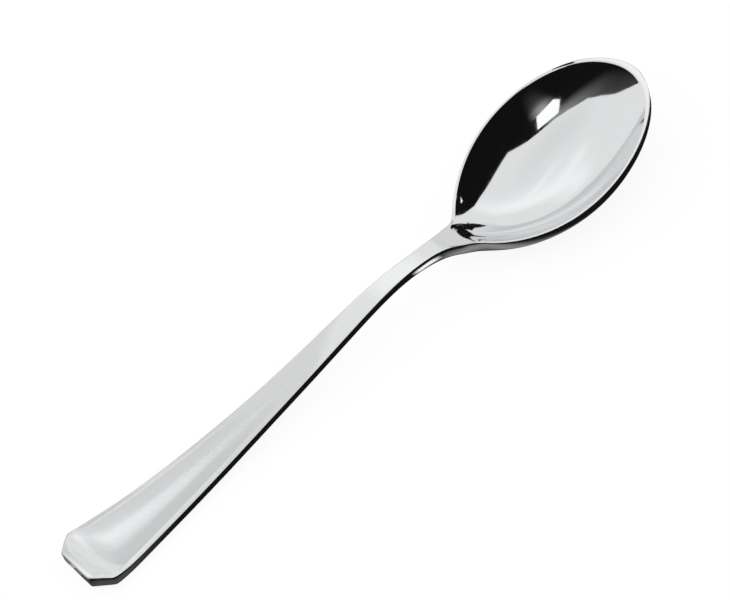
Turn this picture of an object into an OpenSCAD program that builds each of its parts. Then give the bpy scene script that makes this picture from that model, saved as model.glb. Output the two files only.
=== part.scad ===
// Teaspoon, pressed from one blank of stainless steel and polished all over.
// The blank has three zones, the handle, the neck and the bowl, which share their end sections.
// X runs from the cut end of the handle to the tip of the bowl, Z is up, and the spoon lies at rest.

/* [Handle] */
// Length of the handle, from its cut end to the start of the neck
handle_l = 80; // [68:1:95]
// Width across the two corners at the end
end_w = 14.3; // [11:0.1:17]
// Width of the straight cut between the corners
end_flat_w = 7.9; // [5.5:0.1:9.5]
// Length that the slanting corners take
corner_l = 3.4; // [2.2:0.1:4.6]
// Width where the handle meets the neck
waist_w = 3.4; // [2.8:0.1:4.4]
// Thickness of the cut end
end_t = 2.2; // [1.8:0.05:2.8]
// Height of the cut end's lower edge, because the end turns up a little
end_lift = 0.4; // [0.1:0.05:0.8]
// Thickness of the edge along the handle
edge_t = 1.4; // [1:0.05:1.7]
// Height of the top of the arch, where the handle turns down to the neck
arch_h = 8.6; // [7.5:0.1:10.5]

/* [Panel] */
// Width of the raised border round the sunken panel
border_w = 1.2; // [0.8:0.1:1.6]
// Depth of the panel below its border
panel_d = 0.25; // [0.1:0.05:0.4]
// Length of the panel, up to where it has faded out
panel_l = 62; // [45:1:66]

/* [Neck] */
// Length of the neck
neck_l = 12; // [10:0.5:16]
// Width where the neck meets the bowl
neck_w = 6.3; // [5:0.1:7.5]
// Depth of the rounded keel under the neck
keel_t = 1; // [0.5:0.1:1.5]
// Thickness of the edge at the root of the bowl, where the neck is strongest
neck_t = 2.3; // [1.9:0.1:2.8]
// Height of the edge where it dips lowest, at the root of the bowl
dip_h = 4.8; // [4.4:0.1:5.6]

/* [Bowl] */
// Length of the bowl, from the neck to the tip
bowl_l = 46; // [38:0.5:54]
// Width of the bowl
bowl_w = 30.5; // [26:0.5:36]
// Width of the flat rim along the sides
rim_w = 0.7; // [0.5:0.05:1.2]
// Width of the flat rim at the tip
tip_rim_w = 1.3; // [0.8:0.1:1.8]
// Thickness of the rim
rim_t = 1.3; // [0.8:0.1:1.5]
// Thickness of the floor of the bowl
floor_t = 1.15; // [0.9:0.05:1.5]
// Height of the rim at the tip
tip_h = 11.5; // [10.5:0.1:13]

/* [Finish] */
// Radius that polishing leaves on the edges
soft_r = 0.22; // [0.1:0.02:0.3]

/* [Hidden] */
steel = [0.80, 0.81, 0.82];
total_l = handle_l + neck_l + bowl_l;
bowl_x = handle_l + neck_l;
// The handle lies on the table where its underside is lowest, so its top is one edge higher there
tail_h = edge_t;

// Where the bowl is widest, as a share of its length, and the fullness of its two halves
widest_share = 0.522;
root_full_share = 0.76;
tip_full_share = 0.54;
widest_x = bowl_x + bowl_l * widest_share;
root_l = widest_x - bowl_x;
tip_l = total_l - widest_x;

// The handle's taper: share of its length, share of the widening from waist to corners
taper_shares = [[0, 1.03], [0.0575, 0.99], [0.1, 0.934], [0.175, 0.79], [0.25, 0.668], [0.4, 0.468],
    [0.55, 0.304], [0.7, 0.194], [0.85, 0.072], [1, 0]];
// The turned-up end: share of the handle's length, share of the rise from the lowest point to the end
lift_shares = [[0, 1], [0.0425, 0.54], [0.1, 0.17]];
// The handle's top line: share of its length, share of the rise from its lowest point to the arch
rise_shares = [[0.19, 0], [0.25, 0.016], [0.325, 0.063], [0.4, 0.13], [0.475, 0.215], [0.55, 0.317],
    [0.625, 0.436], [0.7, 0.57], [0.775, 0.717], [0.85, 0.862], [0.91, 0.957], [0.965, 1], [1, 0.992]];
// The neck's top line: share of its length, share of the fall from the arch to the dip
fall_shares = [[0.25, 0.063], [0.5, 0.158], [0.75, 0.353], [1, 0.69]];
// The rim's top line: share of the bowl's length, share of the rise from the dip to the tip
rim_shares = [[0.055, 0.027], [0.1, 0], [0.15, 0.003], [0.2, 0.034], [0.305, 0.149], [0.52, 0.445],
    [0.735, 0.755], [0.89, 0.935], [1, 1]];
// The edge's thickness past the handle: share of each zone's length, share of the way to the neck's thickness
neck_edge_shares = [[0, 0.15], [0.7, 0.85]];
bowl_edge_shares = [[0, 1], [0.05, 0.78], [0.1, 0.5], [0.2, 0.2], [0.35, 0], [1, 0]];
// The neck's width: share of its length, share of the widening from waist to root
neck_shares = [[0, 0], [0.25, 0], [0.5, 0.08], [0.75, 0.36], [1, 1]];
// What the neck's width adds to the oval: share of the bowl's length, share of the neck's width
fillet_shares = [[0.022, 0.98], [0.055, 0.7], [0.11, 0], [1, 0]];
// The keel under the blank: share of the whole length, share of its full depth
keel_shares = [[0, 0], [0.22, 0.02], [0.36, 0.14], [0.48, 0.42], [0.57, 0.8], [0.62, 1], [0.66, 0.85],
    [0.695, 0.4], [0.73, 0.08], [0.77, 0], [1, 0]];
// The thick cut end thins to the edge within this share of the handle
thick_share = 0.18;
// The panel starts to fade at this share of its length
fade_share = 0.6;
// How full the bowl's hollow is, how softly it leaves the neck, and how square the panel's floor is
dish_share = 2.5;
lead_share = 0.06;
panel_share = 3;
// How blunt the hollow is where it starts at the neck
root_share = 4;
// Least width of the hollow's mesh, as a share of the outline
core_share = 0.25;

// Counts of stations along each zone, and of points across half a section
handle_steps = 30;
end_steps = 4;
neck_steps = 8;
bowl_steps = 44;
across = 10;
last_turn = 3;

// A smooth curve through the knots k, which are pairs sorted by their first value
function slope(k, i) =
    i == 0 ? (k[1][1] - k[0][1]) / (k[1][0] - k[0][0]) :
    i == len(k) - 1 ? (k[i][1] - k[i - 1][1]) / (k[i][0] - k[i - 1][0]) :
    (k[i + 1][1] - k[i - 1][1]) / (k[i + 1][0] - k[i - 1][0]);
function span(k, x, i = 0) = i >= len(k) - 2 || x <= k[i + 1][0] ? i : span(k, x, i + 1);
function smooth(k, x) =
    let (i = span(k, x), h = k[i + 1][0] - k[i][0], t = min(1, max(0, (x - k[i][0]) / h)))
    (2 * t ^ 3 - 3 * t ^ 2 + 1) * k[i][1] + (t ^ 3 - 2 * t ^ 2 + t) * h * slope(k, i)
    + (3 * t ^ 2 - 2 * t ^ 3) * k[i + 1][1] + (t ^ 3 - t ^ 2) * h * slope(k, i + 1);
function ease(t) = let (u = min(1, max(0, t))) u * u * (3 - 2 * u);

// Half the width of the outline at x: slanting corners, taper, neck, and the oval of the bowl
taper_k = [for (s = taper_shares) [s[0] * handle_l, (waist_w + (end_w - waist_w) * s[1]) / 2]];
neck_k = concat(
    [for (s = neck_shares) [handle_l + s[0] * neck_l, (waist_w + (neck_w - waist_w) * s[1]) / 2]],
    [for (s = fillet_shares) [bowl_x + s[0] * bowl_l, neck_w / 2 * s[1]]]);
function corner(x) = end_flat_w / 2 + (end_w - end_flat_w) / 2 * x / corner_l;
function oval(x, half, front, back) =
    let (s = x > widest_x ? (x - widest_x) / front : (widest_x - x) / back)
    s >= 1 ? 0 : half * (1 - s * s) ^ (x > widest_x ? tip_full_share : root_full_share);
function outline(x) =
    x < handle_l ? min(corner(x), smooth(taper_k, x)) :
    x < bowl_x ? smooth(neck_k, x) :
    (max(0, smooth(neck_k, x)) ^ 3 + oval(x, bowl_w / 2, tip_l, root_l) ^ 3) ^ (1 / 3);

// Height of the top edge at x
line_k = concat(
    [for (s = lift_shares) [s[0] * handle_l, tail_h + (end_lift + end_t - tail_h) * s[1]]],
    [for (s = rise_shares) [s[0] * handle_l, tail_h + (arch_h - tail_h) * s[1]]],
    [for (s = fall_shares) [handle_l + s[0] * neck_l, arch_h - (arch_h - dip_h) * s[1]]],
    [for (s = rim_shares) [bowl_x + s[0] * bowl_l, dip_h + (tip_h - dip_h) * s[1]]]);
function top_line(x) = smooth(line_k, x);

// Thickness of the edge and depth of the keel at x
edge_k = concat([[handle_l * 0.8, edge_t]],
    [for (s = neck_edge_shares) [handle_l + s[0] * neck_l, edge_t + (neck_t - edge_t) * s[1]]],
    [for (s = bowl_edge_shares) [bowl_x + s[0] * bowl_l, rim_t + (neck_t - rim_t) * s[1]]]);
function edge(x) = smooth(edge_k, x) + (end_t - edge_t) * max(0, 1 - x / (handle_l * thick_share)) ^ 2;
keel_k = [for (s = keel_shares) [s[0] * total_l, s[1] * keel_t]];
function keel(x) = max(0, smooth(keel_k, x));

// Half the width of the panel or hollow that the edge surrounds
function inner(x) =
    x < bowl_x ? outline(x) - border_w * sqrt(1 + lean(x) ^ 2) :
    x < widest_x ? min(outline(x) - rim_w * sqrt(1 + lean(x) ^ 2), root_share * sqrt((x - bowl_x) * rim_w)) :
    oval(x, bowl_w / 2 - rim_w, tip_l - tip_rim_w, root_l);
function lean(x) = (outline(x + soft_r) - outline(max(0, x - soft_r))) / (x + soft_r - max(0, x - soft_r));
function core(x) = max(inner(x), core_share * outline(x));

// How deep a dish is at x and at the share e of its half width, from none at its edge to one
function lead(t) = t * t * (1 + lead_share) / (t + lead_share);
function dish(x, e, front, back) =
    let (s = x > widest_x ? (x - widest_x) / front : 1 - lead(max(0, 1 - (widest_x - x) / back)))
    s >= 1 || e >= 1 ? 0 : 1 - (s * s + (1 - s * s) * e * e) ^ (dish_share / 2);

// The outside of the bowl is as deep as lets it just touch the table
drop = min([for (i = [1 : bowl_steps - 1])
    let (x = bowl_x + bowl_l * i / bowl_steps, d = dish(x, 0, tip_l, root_l))
    if (d > 0.4) (top_line(x) - edge(x) - keel(x)) / d]);
hollow_d = drop + rim_t - floor_t;

// Heights of the top and the underside at x and y
function panel_at(x, y) =
    x <= border_w || inner(x) <= 0 ? 0 :
    panel_d * ease((x - border_w) / border_w * 2) * (1 - ease((x / panel_l - fade_share) / (1 - fade_share)))
    * (1 - min(1, y / inner(x)) ^ panel_share);
function top_at(x, y) =
    top_line(x) - (x < bowl_x ? panel_at(x, y) :
    inner(x) <= 0 ? 0 : hollow_d * dish(x, y / inner(x), tip_l - tip_rim_w, root_l));
function under_at(x, y) =
    let (e = min(1, y / outline(x)))
    top_line(x) - edge(x) - keel(x) * (1 - e * e) - (x < bowl_x ? 0 : drop * dish(x, e, tip_l, root_l));

// Half a section at x, from the middle of the top round the edge to the middle of the underside
function half_section(x) =
    let (w = outline(x), c = core(x), r = min(soft_r, w / 3), z = top_line(x), b = z - edge(x), q = r * (1 - sqrt(1 / 2)))
    concat(
        [for (i = [0 : across]) let (y = c * i / across) [y, top_at(x, y)]],
        [[w - r, z], [w - q, z - q], [w, z - r], [w, b + r], [w - q, b + q]],
        [for (i = [across : -1 : 0]) let (y = (w - r) * i / across) [y, under_at(x, y)]]);
function section(x) =
    let (h = half_section(x), n = len(h))
    concat([for (p = h) [x, p[0], p[1]]], [for (i = [n - 2 : -1 : 1]) [x, -h[i][0], h[i][1]]]);

// One half of an end cap: strips down from the top to the underside, and a fan round the edge
function half_cap(at) =
    let (n = 2 * across + 7)
    concat(
        [for (i = [0 : across - 1]) each [[at(i), at(i + 1), at(n - 1 - i)], [at(i + 1), at(n - 2 - i), at(n - 1 - i)]]],
        [for (i = [across : across + 4]) [at(i), at(i + 1), at(n - 1 - across)]]);
function turned(faces) = [for (f = faces) [f[2], f[1], f[0]]];

// Closed solid through the sections at the stations xs
module loft(xs) {
    rings = [for (x = xs) section(x)];
    m = len(rings[0]);
    last = (len(xs) - 1) * m;
    polyhedron(
        points = [for (r = rings) each r],
        faces = concat(
            turned(half_cap(function (i) i)),
            half_cap(function (i) (m - i) % m),
            half_cap(function (i) last + i),
            turned(half_cap(function (i) last + (m - i) % m)),
            [for (j = [0 : len(xs) - 2]) for (i = [0 : m - 1])
                let (a = j * m + i, b = j * m + (i + 1) % m)
                each [[a, b, a + m], [b, b + m, a + m]]]),
        convexity = 6);
}

// Stations along each zone
handle_xs = concat(
    [0, border_w, border_w * 1.25, border_w * 1.5],
    [for (i = [0 : end_steps - 1]) border_w * 1.5 + (corner_l - border_w * 1.5) * (i + 1) / end_steps],
    [for (i = [1 : handle_steps]) corner_l + (handle_l - corner_l) * i / handle_steps]);
neck_xs = [for (i = [0 : neck_steps]) handle_l + neck_l * i / neck_steps];
bowl_xs = [for (i = [0 : bowl_steps])
    let (a = 180 - (180 - last_turn) * i / bowl_steps, x = cos(a))
    i == bowl_steps ? widest_x + tip_l * cos(last_turn) : widest_x + x * (x > 0 ? tip_l : root_l)];

module in_place() {
    translate([-total_l / 2, 0, 0])
    children();
}

// The long flat handle with its cut corners, raised border and sunken panel
module handle() {
    color(steel)
    in_place()
    loft(handle_xs);
}

// The narrow neck with its rounded keel
module neck() {
    color(steel)
    in_place()
    loft(neck_xs);
}

// The oval bowl with its flat rim
module bowl() {
    color(steel)
    in_place()
    loft(bowl_xs);
}

handle();
neck();
bowl();
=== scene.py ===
import math
import bmesh
import bpy
import numpy as np
from mathutils import Matrix, Vector


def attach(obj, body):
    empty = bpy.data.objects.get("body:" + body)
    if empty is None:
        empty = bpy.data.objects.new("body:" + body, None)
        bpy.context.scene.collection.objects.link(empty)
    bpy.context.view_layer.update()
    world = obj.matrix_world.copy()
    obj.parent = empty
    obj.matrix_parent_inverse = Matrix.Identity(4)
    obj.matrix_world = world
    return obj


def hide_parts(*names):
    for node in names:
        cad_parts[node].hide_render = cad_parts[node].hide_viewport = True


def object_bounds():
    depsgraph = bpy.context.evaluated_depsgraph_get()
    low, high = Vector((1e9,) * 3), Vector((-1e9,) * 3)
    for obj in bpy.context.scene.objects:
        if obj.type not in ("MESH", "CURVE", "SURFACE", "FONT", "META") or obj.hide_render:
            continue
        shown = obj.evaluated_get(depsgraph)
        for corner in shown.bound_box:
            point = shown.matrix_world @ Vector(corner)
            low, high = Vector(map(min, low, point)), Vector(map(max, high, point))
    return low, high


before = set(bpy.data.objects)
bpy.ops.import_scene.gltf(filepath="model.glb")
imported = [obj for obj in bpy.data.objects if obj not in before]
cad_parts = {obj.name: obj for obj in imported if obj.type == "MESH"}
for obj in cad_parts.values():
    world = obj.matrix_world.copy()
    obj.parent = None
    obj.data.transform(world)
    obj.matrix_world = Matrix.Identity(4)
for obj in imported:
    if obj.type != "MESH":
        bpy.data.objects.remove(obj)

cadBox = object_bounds()
scene = bpy.context.scene
scene.view_settings.view_transform = "Standard"
mm = 0.001
print("frame loaded", [round(v, 4) for v in (*cadBox[0], *cadBox[1])])


def toLinear(hexColour):
    parts = [int(hexColour[i:i + 2], 16) / 255 for i in (1, 3, 5)]
    return tuple(p / 12.92 if p <= 0.04045 else ((p + 0.055) / 1.055) ** 2.4 for p in parts) + (1.0,)


def addNode(tree, kind, inputs=None, **settings):
    # inputs are sockets to link or plain values, by socket name or number
    node = tree.nodes.new(kind)
    for name, value in settings.items():
        setattr(node, name, value)
    for name, value in (inputs or {}).items():
        if isinstance(value, bpy.types.NodeSocket):
            tree.links.new(value, node.inputs[name])
        else:
            node.inputs[name].default_value = value
    return node


# solved from the photographed outline, together with the heights of the spoon
camera = {
    "azimuth": 24.8, "elevation": 51.01, "roll": 19.91,   # degrees, seen from the front left, from above
    "distance": 0.6, "lens": 163.6, "aim": (0, 0, 0.00333),
    "shift": (-0.94 / 730, 22.95 / 730),                  # the photograph's frame is 730 x 600
}


def makeCamera(c):
    az, el, roll = (math.radians(c[k]) for k in ("azimuth", "elevation", "roll"))
    back = Vector((-math.sin(az) * math.cos(el), -math.cos(az) * math.cos(el), math.sin(el)))
    right = Vector((math.cos(az), -math.sin(az), 0))
    up = back.cross(right)
    turnedRight = right * math.cos(roll) - up * math.sin(roll)
    turnedUp = right * math.sin(roll) + up * math.cos(roll)
    place = Matrix((turnedRight, turnedUp, back)).transposed().to_4x4()
    place.translation = Vector(c["aim"]) + back * c["distance"]
    data = bpy.data.cameras.new("photoCamera")
    data.lens, data.sensor_width = c["lens"], 36
    data.shift_x, data.shift_y = c["shift"]
    data.clip_start, data.clip_end = 0.05, 20
    made = bpy.data.objects.new("photoCamera", data)
    made.matrix_world = place
    scene.collection.objects.link(made)
    scene.camera = made


makeCamera(camera)

# the spoon's sizes, in millimetres
spoon = {
    "handleLength": 80, "neckLength": 12, "bowlLength": 46,
    "endWidth": 14.3, "endFlat": 8.3, "cornerLength": 3.4, "waist": 3.5, "neckWidth": 6.3, "bowlWidth": 30.8,
    "endThickness": 2.6, "endLift": 0.45, "edge": 1.5, "archHeight": 8.9, "neckThickness": 2.5,
    "dipHeight": 5, "tipHeight": 11.7, "keel": 1,
    "border": 1.2, "panelDepth": 0.06, "scoop": 0.19, "panelLength": 62, "stepLength": 40,
    "opening": 1.2,                      # the panel eases down over this length inside the end's border
    "endSink": 0.2, "sinkReach": 3,      # it sinks by this share of the end's extra thickness, eased too
    "rimWidth": 0.5, "tipRimWidth": 1.3, "rimThickness": 1.8, "floorThickness": 1.15,
    # radii of the polished edges, and how far from the end and from the bowl's root they change
    "polish": 0.22, "handlePolish": 0.24, "endPolish": 0.42, "endPolishReach": 10, "bowlPolishReach": 6,
    "crease": 0.25, "cornerPolish": 0.2,
    # how far polishing evens out the long curves, and the hollow's curve lengthways
    "settle": 1.2, "hollowSettle": 1.5,
    # shares and powers, without a unit
    "widestShare": 0.522, "rootFull": 0.785, "tipFull": 0.54, "tipRimFull": 0.51, "rootShare": 4,
    "dishPower": 2.5, "leadShare": 0.06, "panelPower": 4.0, "fadeShare": 0.6, "creaseShare": 0.12,
}
# heights, widths and thicknesses: share of the zone's length, and share of the way to the larger size;
# taper, rise, fall and rim come from a least-squares solver that fitted the photographed outline,
# rounded and in places moved
taperShares = [(0, 1.03), (0.0575, 0.99), (0.1, 0.934), (0.175, 0.79), (0.25, 0.668), (0.4, 0.468),
               (0.55, 0.3), (0.7, 0.19), (0.85, 0.094), (1, 0)]
liftShares = [(0, 1), (0.025, 0.9), (0.05, 0.4), (0.075, 0.2), (0.1, 0.09), (0.15, 0)]
riseShares = [(0.19, 0), (0.25, 0.016), (0.325, 0.063), (0.4, 0.13), (0.475, 0.215), (0.55, 0.317),
              (0.625, 0.436), (0.7, 0.57), (0.775, 0.717), (0.85, 0.862), (0.91, 0.957), (0.965, 1),
              (1, 0.992)]
fallShares = [(0.25, 0.063), (0.5, 0.158), (0.75, 0.353), (1, 0.69)]
rimShares = [(0.055, 0.027), (0.1, 0), (0.15, 0.003), (0.2, 0.034), (0.305, 0.149), (0.52, 0.445),
             (0.735, 0.755), (0.89, 0.935), (1, 1)]
neckEdgeShares = [(0, 0.15), (0.7, 0.85)]
bowlEdgeShares = [(0, 1), (0.05, 0.78), (0.1, 0.5), (0.2, 0.2), (0.35, 0), (1, 0)]
neckShares = [(0, 0), (0.25, 0), (0.5, 0.08), (0.75, 0.36), (1, 1)]
filletShares = [(0.022, 0.98), (0.055, 0.7), (0.11, 0), (1, 0)]
keelShares = [(0, 0), (0.22, 0.02), (0.36, 0.14), (0.48, 0.42), (0.57, 0.8), (0.62, 1), (0.66, 0.85),
              (0.695, 0.4), (0.73, 0.08), (0.77, 0), (1, 0)]


def curveThrough(knots, x):
    # smooth curve through the knots, straight on past both ends
    kx, ky = (np.array(k, float) for k in zip(*knots))
    slopes = np.empty(len(kx))
    slopes[1:-1] = (ky[2:] - ky[:-2]) / (kx[2:] - kx[:-2])
    slopes[0], slopes[-1] = (ky[1] - ky[0]) / (kx[1] - kx[0]), (ky[-1] - ky[-2]) / (kx[-1] - kx[-2])
    i = np.clip(np.searchsorted(kx, x, side="right") - 1, 0, len(kx) - 2)
    h = kx[i + 1] - kx[i]
    t = np.clip((x - kx[i]) / h, 0, 1)
    inside = ((2 * t ** 3 - 3 * t ** 2 + 1) * ky[i] + (t ** 3 - 2 * t ** 2 + t) * h * slopes[i]
              + (3 * t ** 2 - 2 * t ** 3) * ky[i + 1] + (t ** 3 - t ** 2) * h * slopes[i + 1])
    return inside + np.minimum(x - kx[0], 0) * slopes[0] + np.maximum(x - kx[-1], 0) * slopes[-1]


def settled(values, step, reach):
    # evens a sampled curve out over the reach, keeping both ends where they are
    n = max(1, int(3 * reach / step))
    weights = np.exp(-0.5 * (np.arange(-n, n + 1) * step / reach) ** 2)
    weights /= weights.sum()
    padded = np.concatenate([2 * values[0] - values[n:0:-1], values, 2 * values[-1] - values[-2:-n - 2:-1]])
    return np.convolve(padded, weights, mode="valid")


def ease(t):
    u = np.clip(t, 0, 1)
    return u * u * (3 - 2 * u)


def spoonRails(s):
    # nine rails run the length of the spoon, from the hollow over the rim and edge to the underside
    total = s["handleLength"] + s["neckLength"] + s["bowlLength"]
    bowlStart = s["handleLength"] + s["neckLength"]
    widest = bowlStart + s["bowlLength"] * s["widestShare"]
    rootLength, tipLength = widest - bowlStart, total - widest
    half, rim, tipRim = s["bowlWidth"] / 2, s["rimWidth"], s["tipRimWidth"]
    step = 0.05
    fine = np.linspace(0, total, int(total / step) + 1)

    def along(*zones):
        return [(start + length * k, low + (high - low) * v)
                for start, length, low, high, shares in zones for k, v in shares]

    def flat(knots, x):
        return curveThrough(knots, np.clip(x, knots[0][0], knots[-1][0]))

    def oval(x, width, front, back, full=s["tipFull"]):
        share = np.clip(np.where(x > widest, (x - widest) / front, (widest - x) / back), 0, 1)
        return width * (1 - share ** 2) ** np.where(x > widest, full, s["rootFull"])

    handleZone, neckZone = (0, s["handleLength"]), (s["handleLength"], s["neckLength"])
    bowlZone = (bowlStart, s["bowlLength"])
    topKnots = along((*handleZone, s["edge"], s["endLift"] + s["endThickness"], liftShares),
                     (*handleZone, s["edge"], s["archHeight"], riseShares),
                     (*neckZone, s["archHeight"], s["dipHeight"], fallShares),
                     (*bowlZone, s["dipHeight"], s["tipHeight"], rimShares))
    edgeKnots = along(
        (*handleZone, s["edge"], s["endThickness"], liftShares), (*handleZone, 0, s["edge"], [(0.8, 1)]),
        (*neckZone, s["edge"], s["neckThickness"], neckEdgeShares),
        (*bowlZone, s["rimThickness"], s["neckThickness"], bowlEdgeShares))
    shaftKnots = along((*handleZone, s["waist"] / 2, s["endWidth"] / 2, taperShares),
                       (*neckZone, s["waist"] / 2, s["neckWidth"] / 2, neckShares[1:]),
                       (*bowlZone, 0, s["neckWidth"] / 2, filletShares))

    top = settled(curveThrough(topKnots, fine), step, s["settle"])
    edge = settled(flat(edgeKnots, fine), step, s["settle"])
    keel = settled(np.maximum(0, flat(along((0, total, 0, s["keel"], keelShares)), fine)), step, s["settle"])
    shaft = np.maximum(0, flat(shaftKnots, fine))
    # a sum of cubes rounds the corner between the neck and the oval of the bowl
    grown = (shaft ** 3 + oval(fine, half, tipLength, rootLength) ** 3) ** (1 / 3)
    grown = np.where(fine < widest, settled(grown, step, s["settle"] / 2), grown)
    corner = s["endFlat"] / 2 + (s["endWidth"] - s["endFlat"]) / 2 * fine / s["cornerLength"]
    nearEnd = (corner + grown - np.sqrt((corner - grown) ** 2 + 4 * s["cornerPolish"] ** 2)) / 2
    outline = np.where(fine < s["handleLength"] * 0.2, nearEnd, grown)

    # stations, close together where the shape turns: the end face and its polished edge first,
    # then runs, each with the place where it ends and its number of stations
    bevel, border, cut = s["polish"], s["border"], s["cornerLength"]
    end = [(0.0, bevel + inward) for inward in (0.25, 0.08)]
    end += [(bevel * t * t, bevel * (1 - t) ** 2) for t in np.linspace(0, 1, 6)]
    runs = [(bevel, 0), (border, 4), (border * 1.5, 8), (cut - 0.5, 4), (cut + 0.5, 12),
            (s["panelLength"], 129), (bowlStart, 99)]
    places = np.concatenate([np.linspace(a, b, count + 1)[1:] for (a, _), (b, count) in zip(runs, runs[1:])])
    places = places[:-1]
    angles = np.linspace(math.pi, 0, 181)     # a station for each degree of the bowl's half round
    bowlPlaces = widest + np.cos(angles) * np.where(np.cos(angles) > 0, tipLength, rootLength)
    x = np.concatenate([[p for p, _ in end], places, bowlPlaces])
    inset = np.concatenate([[g for _, g in end], np.zeros(len(places) + len(bowlPlaces))])
    first = len(x) - len(bowlPlaces)
    inBowl = np.arange(len(x)) >= first
    pastWidest = inBowl & (x > widest)

    def at(values, where=None):
        return np.interp(x if where is None else where, fine, values)

    w = np.where(pastWidest, oval(x, half, tipLength, rootLength), at(outline))
    slant = np.sqrt(1 + at(np.gradient(outline, step)) ** 2)
    outX, outY = x.copy(), w - inset * slant
    normX, normY = np.zeros(len(x)), slant.copy()
    length = np.maximum(np.hypot(np.gradient(x), np.gradient(w)), 1e-9)
    past = x > s["handleLength"] * 0.9
    normX[past], normY[past] = (-np.gradient(w) / length)[past], (np.gradient(x) / length)[past]
    normX[-1], normY[-1] = 1, 0

    # the inner line: panel edge on the handle, rim of the hollow in the bowl
    inX = np.where(pastWidest, widest + (x - widest) * (tipLength - tipRim) / tipLength, x)
    ringed = w - rim * slant
    pastRoot = np.maximum(x - bowlStart, 0)
    blunt = s["rootShare"] * np.sqrt(pastRoot * rim) * (1 + pastRoot / s["neckWidth"] * 2)
    narrower = -6     # with so low a power the sum follows the narrower of the two
    rooted = (ringed ** narrower + np.maximum(blunt, 1e-3) ** narrower) ** (1 / narrower)
    fadeOut = np.clip((x - s["panelLength"]) / (bowlStart - s["panelLength"]), 0, 1)
    inY = np.where(pastWidest, oval(inX, half - rim, tipLength - tipRim, rootLength, s["tipRimFull"]),
                   np.where(inBowl, rooted, (w - border * slant) * (1 - fadeOut)))
    inY[first] = inY[-1] = 0
    ix, iy = np.gradient(inX), np.gradient(inY)
    length = np.maximum(np.hypot(ix, iy), 1e-9)
    inNormX, inNormY = np.where(inBowl, -iy / length, 0), np.where(inBowl, ix / length, 1)
    inNormX[first], inNormY[first], inNormX[-1], inNormY[-1] = -1, 0, 1, 0

    # how far along the hollow each station is, from -1 at the neck to 1 at the tip
    back = np.clip(1 - (widest - fine) / rootLength, 0, 1)
    lead = back ** 2 * (1 + s["leadShare"]) / (back + s["leadShare"])
    alongFine = np.where(fine > widest, (fine - widest) / tipLength, lead - 1)
    even = settled(alongFine, step, s["hollowSettle"])
    middle = ease((0.85 - np.abs(alongFine)) / 0.3)     # both ends of the hollow stay as they are
    alongFine = even * middle + alongFine * (1 - middle)
    share = np.where(inBowl, np.clip(at(alongFine), -1, 1), -1)
    share[-1] = 1
    shareSlope = at(np.gradient(alongFine, step))

    # the belly drops until it touches the table
    keelZ = at(keel)
    depths = 1 - np.abs(share) ** s["dishPower"]
    deep = inBowl & (depths > 0.4)
    drop = ((at(top) - at(edge) - keelZ)[deep] / depths[deep]).min()
    hollow = drop + s["rimThickness"] - s["floorThickness"]
    print("bowl drop", round(drop, 3))

    def steepness(depth, halfWidth):
        p = np.where(x > widest, s["tipFull"], s["rootFull"])
        across = (1 - share ** 2) ** (1 - p) / halfWidth
        return depth * s["dishPower"] * np.hypot(2 * share * p * shareSlope, across) * inBowl

    wallTilt = np.arctan(steepness(hollow, half - rim))
    bellyTilt = np.arctan(steepness(drop, half) + 2 * keelZ / np.maximum(outY, 0.5) * (keelZ > 1e-4))
    crease = s["crease"] * np.where(inBowl, ease((share + 1) / s["creaseShare"]), 0)
    opened = ease((x - border) / s["opening"])
    panel = opened * (1 - ease((x / s["panelLength"] - s["fadeShare"]) / (1 - s["fadeShare"])))
    stepped = opened * (1 - ease(x / s["stepLength"]))
    creaseIn, creaseDown = crease * np.cos(wallTilt), crease * np.sin(wallTilt)
    turnIn, turnDown = bevel * np.cos(bellyTilt), bevel * np.sin(bellyTilt)
    edgePolish = flat([(0, s["endPolish"]), (s["endPolishReach"], s["handlePolish"]),
                       (s["handleLength"], s["handlePolish"]), (bowlStart + s["bowlPolishReach"], bevel),
                       (total, bevel)], x)
    bevels = np.minimum(edgePolish, (at(edge) - 2 * inset) / 2.5)     # less than half the edge
    thicker = (s["endThickness"] - s["edge"]) * flat(liftShares, x / s["handleLength"])
    raised = thicker * s["endSink"] * ease((x - border) / s["sinkReach"])

    def rail(baseX, baseY, nx, ny, offset, down, under=False):
        # a rail takes its height from the place where it lies
        railX = baseX + nx * offset
        z = at(top, railX) - inset
        if under:
            z = z - at(edge, railX) + 2 * inset
        return np.stack([railX, np.maximum(baseY + ny * offset, 0), z - down], axis=1)

    rails = [
        rail(inX, inY, inNormX, inNormY, -creaseIn, creaseDown),
        rail(inX, inY, inNormX, inNormY, 0, 0),
        rail(inX, inY, inNormX, inNormY, crease, 0),
        rail(outX, outY, normX, normY, -bevels, 0),
        rail(outX, outY, normX, normY, 0, 0),
        rail(outX, outY, normX, normY, 0, bevels),
        rail(outX, outY, normX, normY, 0, -bevels, True),
        rail(outX, outY, normX, normY, 0, 0, True),
        rail(outX, outY, normX, normY, -turnIn, turnDown, True),
    ]
    cage = np.stack(rails, axis=1) * mm      # station, rail, xyz
    cage[:, :, 0] += cadBox[0].x
    values = {"alongBowl": share, "hollow": (hollow - creaseDown) * inBowl * mm,
              "panel": (stepped * s["panelDepth"] + raised) * mm, "scoop": panel * s["scoop"] * mm,
              "keelDepth": keelZ * mm, "belly": (drop - turnDown) * inBowl * mm}
    return cage, values


columnValues = ("blend0", "blend1", "blend2", "across", "dip", "bellied", "side")


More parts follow.
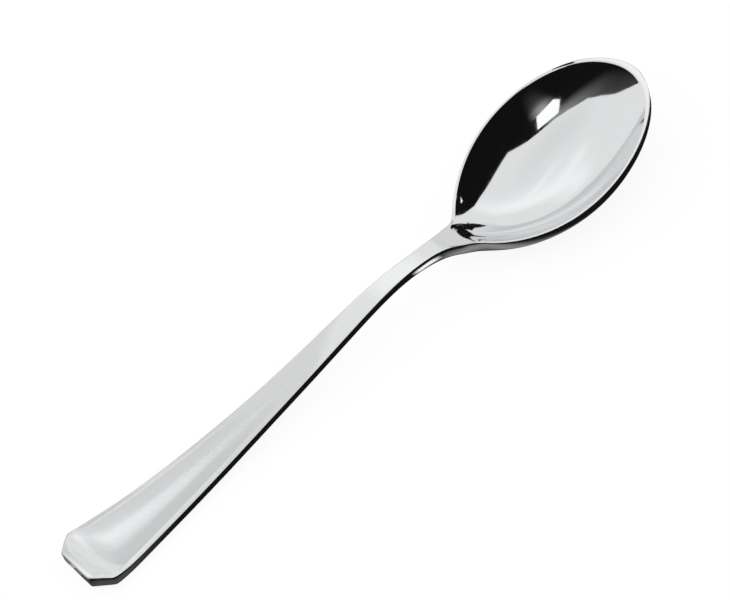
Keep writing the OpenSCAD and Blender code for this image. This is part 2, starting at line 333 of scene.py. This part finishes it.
def spoonSection():
    # one closed section: each column blends three rails, then narrows and dips by its share across
    floorSteps, underSteps, crowding = 36, 30, 1.45     # the hollow's columns crowd towards its wall
    half = [(0, (1, 0, 0), 1 - (1 - k / floorSteps) ** crowding, 1, 0) for k in range(floorSteps + 1)]

    def turn(first, count):
        return [(first, ((1 - t) ** 2, 2 * t * (1 - t), t * t), 1, 0, 0)
                for t in np.linspace(0, 1, count + 1)[1:]]

    def run(first, count):
        return [(first, (1 - t, t, 0), 1, 0, 0) for t in np.linspace(0, 1, count + 1)[1:]]

    half += turn(0, 5) + run(2, 4) + turn(3, 5) + run(5, 3) + turn(6, 5)
    half += [(6, (0, 0, 1), 1 - k / underSteps, 0, 1) for k in range(1, underSteps + 1)]
    columns = [(*c, 1.0) for c in half] + [(*c, -1.0) for c in half[-2::-1]]
    rail, blend, *others = zip(*columns)
    table = {"rail": np.array(rail, dtype=np.int32)}
    for name, values in zip(columnValues, (*zip(*blend), *others)):
        table[name] = np.array(values, dtype=float)
    return table


def pointMesh(name, points, attributes):
    data = bpy.data.meshes.new(name)
    data.from_pydata([tuple(p) for p in points], [], [])
    for key, values in attributes.items():
        kind = "INT" if values.dtype.kind == "i" else "FLOAT"
        data.attributes.new(key, kind, "POINT").data.foreach_set("value", values)
    made = bpy.data.objects.new(name, data)
    scene.collection.objects.link(made)
    return made


def skinTree():
    # skins the section along the rails: each vertex of the grid is blended, narrowed and dipped by rule
    tree = bpy.data.node_groups.new("pressedBlank", "GeometryNodeTree")
    sockets = {}
    inputs = (("Rails Mesh", "Geometry"), ("Section", "Object"), ("Stations", "Int"), ("Columns", "Int"),
              ("Rails", "Int"), ("Dish Power", "Float"), ("Panel Power", "Float"), ("Steel", "Material"))
    for name, kind in inputs:
        socket = tree.interface.new_socket(name, in_out="INPUT", socket_type="NodeSocket" + kind)
        sockets[name] = socket.identifier
    tree.interface.new_socket("Spoon", in_out="OUTPUT", socket_type="NodeSocketGeometry")
    given = addNode(tree, "NodeGroupInput").outputs

    def sums(operation, *values):
        return addNode(tree, "ShaderNodeMath", dict(enumerate(values)), operation=operation).outputs[0]

    def vectors(operation, inputs):
        return addNode(tree, "ShaderNodeVectorMath", inputs, operation=operation).outputs[0]

    section = addNode(tree, "GeometryNodeObjectInfo", {"Object": given["Section"]}).outputs["Geometry"]
    grid = addNode(tree, "GeometryNodeMeshGrid",
                   {"Vertices X": given["Stations"], "Vertices Y": given["Columns"]})
    index = addNode(tree, "GeometryNodeInputIndex").outputs[0]
    station = sums("FLOOR", sums("DIVIDE", sums("ADD", index, 0.5), given["Columns"]))
    column = sums("SUBTRACT", index, sums("MULTIPLY", station, given["Columns"]))

    def sampled(geometry, value, place, kind="FLOAT"):
        asked = {"Geometry": geometry, "Value": value, "Index": place}
        node = addNode(tree, "GeometryNodeSampleIndex", asked, data_type=kind, domain="POINT")
        return node.outputs["Value"]

    def named(name, kind="FLOAT"):
        node = addNode(tree, "GeometryNodeInputNamedAttribute", {"Name": name}, data_type=kind)
        return node.outputs["Attribute"]

    col = {name: sampled(section, named(name), column) for name in columnValues}
    rail = sampled(section, named("rail", "INT"), column, "INT")
    base = sums("ADD", sums("MULTIPLY", station, given["Rails"]), rail)
    here = addNode(tree, "GeometryNodeInputPosition").outputs[0]
    blends = []
    for k in range(3):
        point = sampled(given["Rails Mesh"], here, sums("ADD", base, float(k)), "FLOAT_VECTOR")
        blends.append(vectors("SCALE", {0: point, "Scale": col[f"blend{k}"]}))
    spot = vectors("ADD", {0: vectors("ADD", {0: blends[0], 1: blends[1]}), 1: blends[2]})
    at = {name: sampled(given["Rails Mesh"], named(name), base)
          for name in ("alongBowl", "hollow", "panel", "scoop", "keelDepth", "belly")}
    squared = sums("MULTIPLY", at["alongBowl"], at["alongBowl"])
    acrossSquared = sums("MULTIPLY", col["across"], col["across"])
    reach = sums("ADD", squared, sums("MULTIPLY", sums("SUBTRACT", 1.0, squared), acrossSquared))
    dish = sums("SUBTRACT", 1.0, sums("POWER", reach, sums("DIVIDE", given["Dish Power"], 2.0)))
    flatFloor = sums("SUBTRACT", 1.0, sums("POWER", col["across"], given["Panel Power"]))
    roundFloor = sums("SUBTRACT", 1.0, acrossSquared)
    sunk = sums("ADD", sums("MULTIPLY", at["panel"], flatFloor), sums("MULTIPLY", at["scoop"], roundFloor))
    topDip = sums("ADD", sums("MULTIPLY", at["hollow"], dish), sunk)
    underDip = sums("ADD", sums("MULTIPLY", at["belly"], dish), sums("MULTIPLY", at["keelDepth"], roundFloor))
    dip = sums("ADD", sums("MULTIPLY", topDip, col["dip"]), sums("MULTIPLY", underDip, col["bellied"]))
    parts = addNode(tree, "ShaderNodeSeparateXYZ", {0: spot}).outputs
    y = sums("MULTIPLY", sums("MULTIPLY", parts[1], col["across"]), col["side"])
    z = sums("SUBTRACT", parts[2], dip)
    place = addNode(tree, "ShaderNodeCombineXYZ", {0: parts[0], 1: y, 2: z}).outputs[0]
    moved = addNode(tree, "GeometryNodeSetPosition", {"Geometry": grid.outputs["Mesh"], "Position": place})
    weld = 2e-6     # metres; closes the section, whose first and last columns lie on the same line
    joined = addNode(tree, "GeometryNodeMergeByDistance", {"Geometry": moved.outputs[0], "Distance": weld})
    smooth = addNode(tree, "GeometryNodeSetShadeSmooth", {"Geometry": joined.outputs[0]})
    real = addNode(tree, "GeometryNodeRealizeInstances", {"Geometry": smooth.outputs[0]})
    finished = addNode(tree, "GeometryNodeSetMaterial",
                       {"Geometry": real.outputs[0], "Material": given["Steel"]})
    addNode(tree, "NodeGroupOutput", {0: finished.outputs[0]})
    return tree, sockets


def polishedSteel():
    # 18/10 stainless steel, stamped, then buffed lengthways to a mirror: sharp reflections,
    # hairlines along the buffing, fine cross wipes from drying, and a duller bloom where fingers rub
    look = {
        "colour": "#E9EAEB",
        "shine": 0.04, "bloom": 0.035, "scratch": 0.05,     # roughness, and what bloom and scratches add
        # millimetres; real hairlines are 0.01 wide, drawn coarser so that they show
        "hairWidth": 0.12, "hairLength": 9, "wipeWidth": 0.2, "wipeLength": 5, "hairDepth": 0.0004,
        "bloomSize": 12,
        "hairTurn": 0.05, "wipeTurn": 0.9,       # radians from the spoon's length
        "hairShare": 0.42, "wipeShare": 0.36, "crest": 0.85, "bloomLow": 0.35, "bloomHigh": 0.75,
    }
    material = bpy.data.materials.new("mirrorPolishedStainlessSteel")
    material.use_nodes = True
    tree = material.node_tree
    shader = tree.nodes["Principled BSDF"]
    shader.inputs["Metallic"].default_value = 1
    shader.inputs["Base Color"].default_value = toLinear(look["colour"])
    where = addNode(tree, "ShaderNodeTexCoord").outputs["Object"]

    def hairlines(kind):
        # long thin marks: noise drawn out along one direction, with only its crests kept
        thin, long = 1 / (look[kind + "Width"] * mm), 1 / (look[kind + "Length"] * mm)
        laid = addNode(tree, "ShaderNodeMapping", {"Vector": where, "Rotation": (0, 0, look[kind + "Turn"]),
                                                   "Scale": (long, thin, thin)})
        noise = addNode(tree, "ShaderNodeTexNoise", {"Vector": laid.outputs[0], "Scale": 1.0, "Detail": 1.0})
        kept = {0: noise.outputs[0], 1: 1 - look[kind + "Share"], 2: look["crest"]}
        return addNode(tree, "ShaderNodeMapRange", kept).outputs[0]

    both = {0: hairlines("hair"), 1: hairlines("wipe")}
    marks = addNode(tree, "ShaderNodeMath", both, operation="MAXIMUM").outputs[0]
    rubbed = addNode(tree, "ShaderNodeTexNoise",
                     {"Vector": where, "Scale": 1 / (look["bloomSize"] * mm), "Detail": 3.0}).outputs[0]
    bloom = addNode(tree, "ShaderNodeMapRange",
                    {0: rubbed, 1: look["bloomLow"], 2: look["bloomHigh"], 3: look["shine"],
                     4: look["shine"] + look["bloom"]}).outputs[0]
    scratched = addNode(tree, "ShaderNodeMath", {0: marks, 1: look["scratch"], 2: bloom},
                        operation="MULTIPLY_ADD").outputs[0]
    tree.links.new(scratched, shader.inputs["Roughness"])
    relief = addNode(tree, "ShaderNodeBump",
                     {"Height": marks, "Distance": look["hairDepth"] * mm, "Strength": 0.5}, invert=True)
    tree.links.new(relief.outputs[0], shader.inputs["Normal"])
    return material


steel = polishedSteel()


def makeSpoon(s):
    cage, values = spoonRails(s)
    stations, rails = cage.shape[:2]
    spread = {name: np.repeat(value, rails) for name, value in values.items()}
    railMesh = pointMesh("spoonRails", cage.reshape(-1, 3), spread)
    columns = spoonSection()
    count = len(columns["rail"])
    section = pointMesh("spoonSection", np.zeros((count, 3)), columns)
    tree, sockets = skinTree()
    skin = railMesh.modifiers.new("pressedBlank", "NODES")
    skin.node_group = tree
    for name, value in (("Section", section), ("Stations", stations), ("Columns", count), ("Rails", rails),
                        ("Dish Power", s["dishPower"]), ("Panel Power", s["panelPower"]), ("Steel", steel)):
        skin[sockets[name]] = value
    graph = bpy.context.evaluated_depsgraph_get()
    data = bpy.data.meshes.new_from_object(railMesh.evaluated_get(graph))
    data.name = "teaspoon"
    made = bpy.data.objects.new("teaspoon", data)
    scene.collection.objects.link(made)
    for helper in (railMesh, section):
        bpy.data.objects.remove(helper)
    bm = bmesh.new()
    bm.from_mesh(data)
    bmesh.ops.dissolve_degenerate(bm, dist=1e-7, edges=bm.edges)
    openEdges = [e for e in bm.edges if e.is_boundary]
    bmesh.ops.holes_fill(bm, edges=openEdges, sides=0)
    bmesh.ops.triangulate(bm, faces=[f for f in bm.faces if len(f.verts) > 4])
    bmesh.ops.recalc_face_normals(bm, faces=bm.faces)
    if bm.calc_volume(signed=True) < 0:
        bmesh.ops.reverse_faces(bm, faces=bm.faces)
    for face in bm.faces:
        face.smooth = True
    loose = sum(1 for e in bm.edges if not e.is_manifold)
    print("spoon", len(bm.verts), "vertices", len(bm.faces), "faces, open edges", loose, "was",
          len(openEdges), "volume mm3", round(bm.calc_volume() * 1e9, 1))
    bm.to_mesh(data)
    bm.free()
    data.validate()
    return made


teaspoon = makeSpoon(spoon)
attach(teaspoon, "root")
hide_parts("handle", "neck", "bowl")

# floor, light and the studio that the steel mirrors; places are in metres, and come from rays traced
# back from the photographed reflections, rounded and in places moved
ceiling = 1.2
studio = {
    "tableTop": -0.0003, "tableHalf": 6, "tableColour": "#F4F4F4", "tableGlow": 0.9,
    "tableShine": 0.79, "skyShine": 0.885, "skyLight": 1.2,     # both shines are what the steel mirrors
}
# flat cards, of which a lower one hides a higher one: height, strength and corners
cards = {
    # the dark side of the room, as the far wall of the bowl mirrors it
    "darkRoom": (ceiling, 0.006, [(-1.2, 2.2), (-1.0, 1.65), (-0.8, 1.0), (-0.7, 0.6), (-0.6, 0.3),
        (-0.42, 0.12), (-0.3, 0.03), (-0.12, -0.02), (0, -0.07), (0.2, -0.24), (0.4, -0.18), (0.6, -0.12),
        (0.8, -0.08), (1.0, -0.05), (1.4, 0.05), (2.0, 0.1), (2.6, 0.16), (3.4, 0.22), (5, 0.27), (7, 0.3),
        (7, -7), (-7, -7), (-7, 7), (-3.2, 7)]),
    # dark too, and lower
    "darkShelf": (ceiling * 0.3, 0.006, [(1.86, 0.435), (1.212, 0.324), (0.894, 0.282), (0.72, 0.276),
        (0.609, 0.324), (0.57, 0.414), (0.693, 0.45), (0.924, 0.492), (1.35, 0.78), (2.19, 1.32),
        (2.7, 1.2), (2.7, 0.6)]),
    # the bright patch in the bowl
    "window": (ceiling - 0.02, 1.2, [(-0.36, 0), (-0.15, -0.075), (-0.235, -0.31), (-0.45, -0.305),
        (-0.475, -0.19)]),
    # the small bright triangle in the dark part of the bowl
    "sideWindow": (ceiling - 0.02, 1.2, [(2.42, -0.34), (2.88, -0.31), (2.6, -0.54)]),
    # a black flag beside the tip, which the root of the bowl mirrors by way of its far wall
    "flag": (0.017, 0.006, [(0.0598, 0.0138), (0.0606, 0.0121), (0.0622, 0.0117), (0.063, 0.0124),
        (0.0632, 0.0139), (0.0655, 0.0149), (0.071, 0.0162), (0.08, 0.0182), (0.09, 0.0215), (0.098, 0.034),
        (0.094, 0.0425), (0.084, 0.0315), (0.078, 0.0285), (0.0725, 0.0262), (0.068, 0.0236),
        (0.0638, 0.0202), (0.0606, 0.0186), (0.0594, 0.0162)]),
    # painted shade: a near-black card on the table before the spoon, that only reflections see; beside the
    # spoon it stands in for the spoon's own shadow, further out it darkens the mirrored table
    "darkTable": (-0.0002, 0.008, [(-3, -5), (3, -5), (0.12, 0.0), (-0.12, 0.0)]),
}
# soft strips of light or shade that lie flat: strength, share of the half width that fades (below zero
# on one side only), height, then x, y, half width and cover along the strip
strips = {
    # round the edges of the dark room and of the window, for the bowl
    "lowSky": (0.775, 1, ceiling + 0.04, [(-0.75, 0.45, 0.5, 0), (-0.45, 0.4, 0.5, 0.5),
        (-0.2, 0.38, 0.5, 0.8), (0.1, 0.4, 0.45, 0.5), (0.35, 0.4, 0.4, 0)]),
    "ridge": (1.08, 1, ceiling + 0.03, [(1.8, -0.1, 0.4, 0), (1.3, 0.15, 0.4, 0.5), (1.0, 0.35, 0.4, 0.65),
        (0.8, 0.6, 0.42, 0.72), (0.6, 0.8, 0.42, 0.85), (0.4, 1.0, 0.42, 0.95), (0.2, 1.3, 0.42, 0.85),
        (0.15, 1.7, 0.42, 0.7), (0.25, 2.2, 0.45, 0.6), (0.38, 2.6, 0.45, 0.55), (0.5, 3.4, 0.45, 0)]),
    "lamp": (1.06, 1, ceiling + 0.02, [(-0.3, 1.02, 0.2, 0), (-0.1, 1.04, 0.25, 0.7),
        (0.1, 1.06, 0.25, 0.7), (0.35, 1.1, 0.3, 0)]),
    "dusk": (0.35, -1, ceiling - 0.01, [(-0.18, -0.03, 0.08, 0), (-0.3, 0.03, 0.2, 0.85),
        (-0.42, 0.12, 0.26, 0.7), (-0.6, 0.3, 0.3, 0.35), (-0.7, 0.6, 0.36, 0.16), (-0.8, 1.0, 0.4, 0.12),
        (-1.0, 1.65, 0.45, 0.12), (-1.2, 2.2, 0.5, 0.1), (-1.6, 3.2, 0.5, 0)]),
    "windowGlow": (0.4, 1, ceiling - 0.015, [(-0.32, -0.3, 0.17, 1), (-0.325, -0.42, 0.17, 0.75),
        (-0.33, -0.5, 0.16, 0.3), (-0.335, -0.6, 0.16, 0.1), (-0.345, -0.8, 0.15, 0.03),
        (-0.35, -1.0, 0.15, 0)]),
    "bandLight": (1.04, 0.7, ceiling + 0.01, [(-0.05, 0.74, 0.05, 0), (0.1, 0.79, 0.06, 0.6),
        (0.3, 0.85, 0.07, 1), (0.45, 0.9, 0.07, 1), (0.6, 0.97, 0.07, 0.6), (0.75, 1.03, 0.06, 0)]),
    # over the table, for the top of the handle
    "farFlag": (0.6, 0.5, 0.08, [(-0.06, 0.041, 0.017, 0.36), (-0.045, 0.041, 0.017, 0.36),
        (-0.032, 0.038, 0.016, 0.36), (-0.022, 0.036, 0.016, 0.25), (-0.012, 0.034, 0.014, 0)]),
    "nearFlag": (0.6, 0.45, 0.08, [(-0.06, 0.079, 0.024, 0.8), (-0.04, 0.0795, 0.023, 0.8),
        (-0.03, 0.0785, 0.023, 0.75), (-0.02, 0.077, 0.02, 0.5), (-0.01, 0.08, 0.016, 0)]),
    "midFlag": (0.7, 1, 0.079, [(-0.036, 0.057, 0.012, 0), (-0.03, 0.057, 0.013, 0.5),
        (-0.022, 0.056, 0.014, 0.6), (-0.017, 0.055, 0.012, 0.35), (-0.012, 0.053, 0.01, 0)]),
    # on the table or low over it, for the edges and the neck
    "footLight": (0.28, 1, -0.0001, [(0.0185, -0.006, 0.0018, 0), (0.0205, -0.0065, 0.0022, 1),
        (0.0235, -0.0075, 0.0024, 1), (0.029, -0.011, 0.0022, 1), (0.035, -0.0148, 0.002, 0.7),
        (0.042, -0.0178, 0.0015, 0.4), (0.05, -0.019, 0.0012, 0)]),
    "neckLight": (1.1, 0.6, -0.0001, [(0.0143, -0.0072, 0.0008, 0), (0.0156, -0.0072, 0.0009, 1),
        (0.0183, -0.0074, 0.0009, 1), (0.0195, -0.0076, 0.0008, 0)]),
    "farShade": (0.12, 0.3, -0.0001, [(-0.08, 0.022, 0.02, 1), (0.01, 0.022, 0.02, 1),
        (0.03, 0.03, 0.015, 0)]),
    "endShine": (0.84, 0.5, 0.017, [(-0.047, 0.016, 0.004, 0.9), (-0.04, 0.022, 0.006, 1),
        (-0.03, 0.032, 0.008, 1), (-0.015, 0.05, 0.01, 1)]),
    "cornerShine": (0.79, 0.6, 0.017, [(-0.036, 0.0028, 0.0045, 1), (-0.022, 0.006, 0.0045, 1),
        (-0.006, 0.0125, 0.005, 1), (0.012, 0.0155, 0.004, 1)]),
    "endLight": (0.075, 1, -0.0001, [(-0.0695, 0.008, 0.002, 0.8), (-0.0695, -0.0025, 0.0025, 1),
        (-0.0675, -0.0065, 0.0025, 1), (-0.063, -0.008, 0.0022, 1), (-0.056, -0.0075, 0.0018, 0.4),
        (-0.048, -0.007, 0.0015, 0)]),
}
# the same standing up: strength and fade, then x, y, height, half width measured upwards, and cover
uprightStrips = {
    "farWall": (0.64, 0.3, [(-1.03, 2.82, -0.85, 0.9, 0), (-0.52, 2.95, -0.53, 0.9, 0.9),
        (-0.26, 2.99, -0.4, 0.9, 1), (0.26, 2.99, -0.04, 0.9, 1), (0.78, 2.9, 0.075, 0.9, 1),
        (1.27, 2.72, 0.25, 0.9, 1), (1.93, 2.3, 0.5, 1.2, 0.85), (2.3, 1.93, 0.55, 1.5, 0.5),
        (2.55, 1.6, 0.55, 1.5, 0.4), (2.72, 1.27, 0.5, 1.4, 0)]),
    "farScreen": (0.08, 0.2, [(-0.1, 0.05, 0.004, 0.008, 1), (0, 0.045, 0.004, 0.008, 1),
        (0.02, 0.045, 0.004, 0.008, 0)]),
    "nearWall": (0.006, 0.1, [(-7, -2, 0.5, 0.9, 0), (-6, -3.4, 0.5, 0.9, 1), (0, -6.9, 0.5, 0.9, 1),
        (6, -3.4, 0.5, 0.9, 1), (7, -1.5, 0.5, 0.9, 1), (7, 0.3, 0.5, 0.9, 1)]),
}


def glowing(name, strength, fading=False):
    # light of its own; where it fades, the mesh says how much of it covers what lies behind
    material = bpy.data.materials.new(name)
    material.use_nodes = True
    tree = material.node_tree
    tree.nodes.clear()
    surface = addNode(tree, "ShaderNodeEmission", {"Color": (1, 1, 1, 1), "Strength": strength}).outputs[0]
    if fading:
        cover = addNode(tree, "ShaderNodeAttribute", attribute_name="cover").outputs["Fac"]
        clear = addNode(tree, "ShaderNodeBsdfTransparent")
        surface = addNode(tree, "ShaderNodeMixShader", {0: cover, 1: clear.outputs[0], 2: surface}).outputs[0]
    addNode(tree, "ShaderNodeOutputMaterial", {"Surface": surface})
    return material


def hang(name, data, material):
    # what only reflections see
    data.materials.append(material)
    made = bpy.data.objects.new(name, data)
    scene.collection.objects.link(made)
    made.visible_camera = made.visible_diffuse = made.visible_shadow = False
    made.visible_transmission = made.visible_volume_scatter = False


def addCard(name, height, strength, corners):
    data = bpy.data.meshes.new(name)
    data.from_pydata([(x, y, height) for x, y in corners], [], [tuple(range(len(corners)))])
    hang(name, data, glowing(name, strength))


def addStrip(name, strength, fade, spine, upright=False):
    knots = np.array(spine, float)
    number = np.arange(len(knots))
    t = np.linspace(0, len(knots) - 1, 10 * len(knots))
    path = np.stack([curveThrough(list(zip(number, knots[:, k])), t) for k in range(3)], axis=1)
    half, cover = (np.interp(t, number, knots[:, k]) for k in (3, 4))
    run = np.gradient(path, axis=0)
    side = np.stack([0 * t, 0 * t, 0 * t + 1] if upright else [-run[:, 1], run[:, 0], 0 * t], axis=1)
    side /= np.linalg.norm(side, axis=1)[:, None]
    # a fade below zero gives a strip that fades from its spine to the left
    ramp = np.linspace(0, abs(fade), 9)
    reach = ramp if fade < 0 else np.unique(np.concatenate([ramp - 1, 1 - ramp]).round(6))
    profile = ease((1 - np.abs(reach)) / abs(fade))
    points = path[:, None, :] + side[:, None, :] * half[:, None, None] * reach[None, :, None]
    columns = len(reach)
    faces = [(i * columns + j, i * columns + j + 1, (i + 1) * columns + j + 1, (i + 1) * columns + j)
             for i in range(len(t) - 1) for j in range(columns - 1)]
    data = bpy.data.meshes.new(name)
    data.from_pydata([tuple(p) for p in points.reshape(-1, 3)], [], faces)
    covers = (cover[:, None] * profile[None, :]).ravel()
    data.attributes.new("cover", "FLOAT", "POINT").data.foreach_set("value", covers)
    hang(name, data, glowing(name, strength, fading=True))


def larger(tree, a, b):
    return addNode(tree, "ShaderNodeMath", {0: a, 1: b}, operation="MAXIMUM").outputs[0]


def makeFloor():
    # plain and pale: the camera sees it nearly white, with the spoon's soft shadow
    material = bpy.data.materials.new("paleTable")
    material.use_nodes = True
    tree = material.node_tree
    tree.nodes.clear()
    path = addNode(tree, "ShaderNodeLightPath").outputs
    mirrored = larger(tree, path["Is Glossy Ray"], path["Is Transmission Ray"])
    seen = larger(tree, path["Is Camera Ray"], mirrored)
    glow = {0: seen, 1: studio["tableGlow"]}
    mostly = addNode(tree, "ShaderNodeMath", glow, operation="MULTIPLY").outputs[0]
    shine = addNode(tree, "ShaderNodeMapRange", {0: mirrored, 3: 1.0, 4: studio["tableShine"]}).outputs[0]
    plain = addNode(tree, "ShaderNodeBsdfDiffuse", {"Color": toLinear(studio["tableColour"])})
    white = addNode(tree, "ShaderNodeEmission", {"Color": (1, 1, 1, 1), "Strength": shine})
    mixed = addNode(tree, "ShaderNodeMixShader", {0: mostly, 1: plain.outputs[0], 2: white.outputs[0]})
    addNode(tree, "ShaderNodeOutputMaterial", {"Surface": mixed.outputs[0]})
    far, z = studio["tableHalf"], studio["tableTop"]
    data = bpy.data.meshes.new("table")
    data.from_pydata([(-far, -far, z), (far, -far, z), (far, far, z), (-far, far, z)], [], [(0, 1, 2, 3)])
    data.materials.append(material)
    made = bpy.data.objects.new("table", data)
    scene.collection.objects.link(made)


makeFloor()
for cardName, (height, strength, corners) in cards.items():
    addCard(cardName, height, strength, corners)
for stripName, (strength, fade, height, spine) in strips.items():
    addStrip(stripName, strength, fade, [(x, y, height, half, cover) for x, y, half, cover in spine])
for stripName, (strength, fade, spine) in uprightStrips.items():
    addStrip(stripName, strength, fade, spine, upright=True)
print("studio", len(cards), "cards and", len(strips) + len(uprightStrips), "strips")


def makeWorld():
    # soft light on the spoon, one plain grey where the steel mirrors it, and white behind
    world = bpy.data.worlds.new("studio")
    scene.world = world
    world.use_nodes = True
    tree = world.node_tree
    tree.nodes.clear()
    path = addNode(tree, "ShaderNodeLightPath").outputs
    level = addNode(tree, "ShaderNodeMapRange",
                    {0: path["Is Glossy Ray"], 3: studio["skyLight"], 4: studio["skyShine"]}).outputs[0]
    seen = larger(tree, path["Is Camera Ray"], path["Is Transmission Ray"])
    lit = addNode(tree, "ShaderNodeBackground", {"Color": (1, 1, 1, 1), "Strength": level})
    white = addNode(tree, "ShaderNodeBackground", {"Color": (1, 1, 1, 1), "Strength": 1.0})
    mixed = addNode(tree, "ShaderNodeMixShader", {0: seen, 1: lit.outputs[0], 2: white.outputs[0]})
    addNode(tree, "ShaderNodeOutputWorld", {"Surface": mixed.outputs[0]})


makeWorld()
